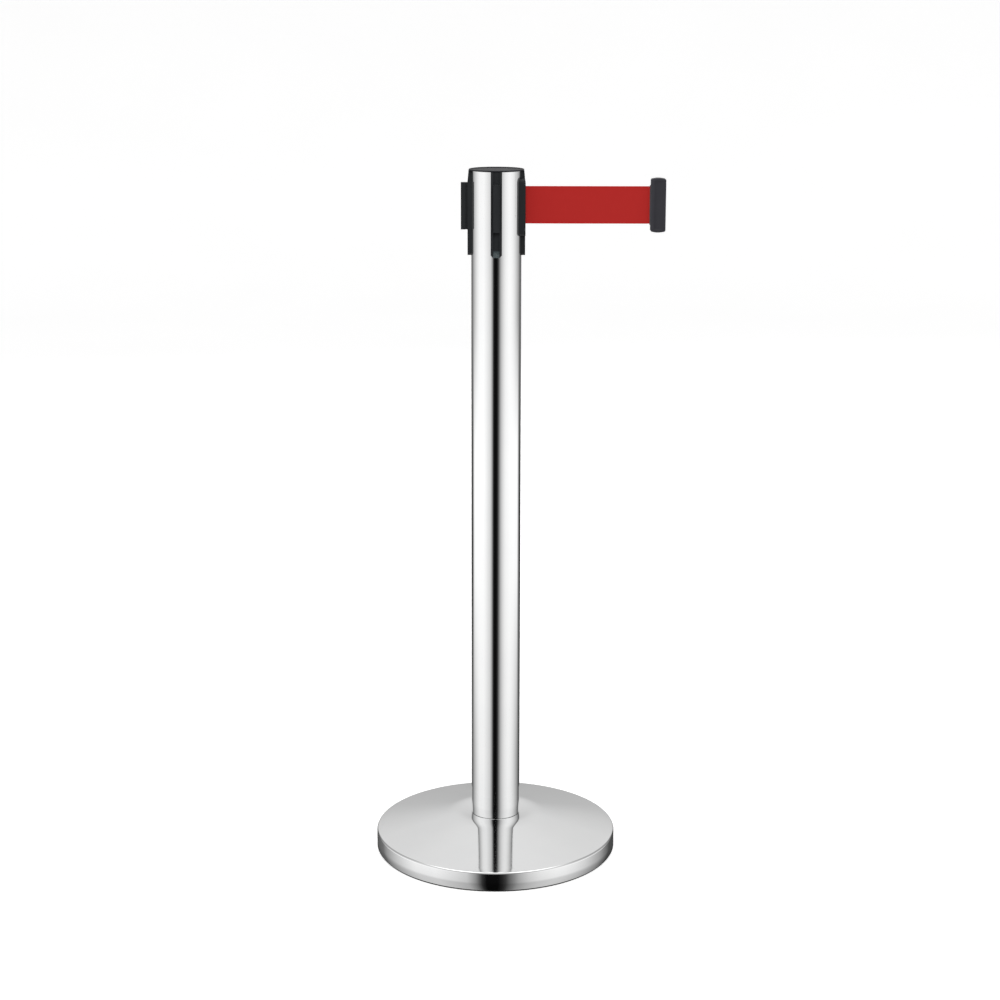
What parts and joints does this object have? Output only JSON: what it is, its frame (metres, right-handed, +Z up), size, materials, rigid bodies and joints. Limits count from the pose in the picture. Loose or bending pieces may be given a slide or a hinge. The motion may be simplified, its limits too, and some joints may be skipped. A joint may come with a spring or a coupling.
{
  "type": "retractable belt stanchion",
  "caption": "Free-standing queue post with a weighted round base, a spring-wound belt in its head, a clip on the belt's end and receivers on the head's other sides.",
  "frame": {"origin": "centre of the floor pad's underside, on the post's axis", "axes": "+Z up the post, +X the way the belt is pulled out, +Y to the rear of the head"},
  "size_m": [0.3708, 0.316, 0.9],
  "materials": {
    "polished_steel": "mirror-polished stainless steel",
    "zinc_steel": "bright zinc plate",
    "spring_steel": "blued spring strip",
    "cast_iron": "rough casting, painted black",
    "black_plastic": "moulded, fine grain",
    "grey_plastic": "moulded, plain",
    "clip_plastic": "moulded, fine grain, charcoal",
    "nylon": "natural nylon",
    "rubber": "matt",
    "red_webbing": "woven polyester"
  },
  "bodies": {
    "root": {"floor_pad": "rubber", "base_weight": "cast_iron", "base_bolt": "zinc_steel", "base_bolt_washer": "zinc_steel", "base_bolt_nut": "zinc_steel", "base_cover": "polished_steel", "post_foot_plug": "zinc_steel", "post_tube": "polished_steel", "head_core": "black_plastic", "top_cap": "black_plastic", "receiver_left": "black_plastic", "receiver_front": "black_plastic", "receiver_rear": "black_plastic", "belt_outlet": "black_plastic", "cassette_cup": "grey_plastic", "cassette_lid": "grey_plastic", "spring_arbor": "zinc_steel", "arbor_screw_top": "zinc_steel", "arbor_screw_bottom": "zinc_steel", "power_spring": "spring_steel", "belt_lead": "red_webbing"},
    "spool": {"belt_spool": "nylon", "spool_top_flange": "nylon", "spring_drum_cover": "nylon", "belt_inner_pin": "zinc_steel", "belt_coil": "red_webbing", "spool_flange_screw_1": "zinc_steel", "spool_flange_screw_2": "zinc_steel", "spool_flange_screw_3": "zinc_steel", "spool_bush_lower": "nylon", "spool_bush_upper": "nylon"},
    "belt_end": {"clip_front_shell": "clip_plastic", "clip_rear_shell": "clip_plastic", "clip_belt_pin": "zinc_steel", "clip_screw_1": "zinc_steel", "clip_screw_2": "zinc_steel", "belt_strip": "red_webbing"}
  },
  "joints": [
    {"name": "belt_pull", "type": "slide", "parent": "root", "child": "belt_end", "axis": [1, 0, 0], "range_m": [-0.1557, 1.8438], "stiffness_N_per_m": 1.5, "springref_m": -2.2, "deforming": ["belt_strip"]},
    {"name": "spool_turn", "type": "hinge", "parent": "root", "child": "spool", "pos_m": [0, 0, 0.855], "axis": [0, 0, 1], "range_deg": [-600, 7000], "deforming": ["power_spring"]}
  ],
  "couplings": [
    {"joint": "spool_turn", "follows": "belt_pull", "rad_per_m": 66}
  ]
}
